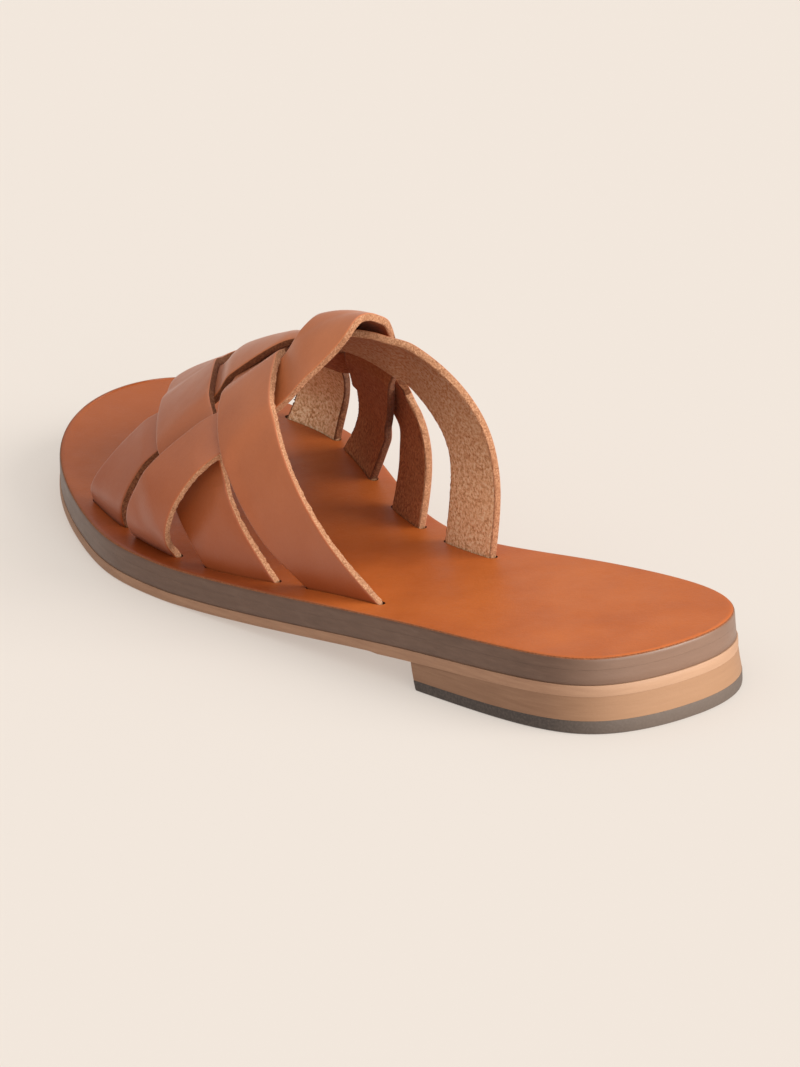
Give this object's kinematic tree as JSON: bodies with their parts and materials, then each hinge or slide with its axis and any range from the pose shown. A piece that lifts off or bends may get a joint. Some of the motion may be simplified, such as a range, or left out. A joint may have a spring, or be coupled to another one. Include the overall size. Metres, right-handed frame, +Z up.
{
  "type": "woven leather slide sandal",
  "caption": "Flat open-toe mule with broad leather straps woven over the instep, a layered leather sole and a low stacked heel with a rubber top piece.",
  "frame": {"origin": "middle of the shoe's box in plan, on the floor", "axes": "+Y from heel to toe, +X to the wearer's right, which is the inner side of this left shoe, +Z up"},
  "size_m": [0.099, 0.2528, 0.0806],
  "materials": {
    "strap_leather": "smooth tan grain outside, suede flesh side inside, raw cut edges",
    "footbed_leather": "smooth tan grain with a soft shine and a rounded edge",
    "dark_leather": "dark brown dyed edge",
    "tan_leather": "light tan matt sole leather",
    "stacked_leather": "tan matt stacked leather",
    "rubber": "dark matt rubber"
  },
  "bodies": {
    "root": {"upper": "strap_leather", "insole": "footbed_leather", "midsole": "dark_leather", "outsole": "tan_leather", "heel_stack": "stacked_leather", "heel_top_piece": "rubber"}
  },
  "joints": []
}
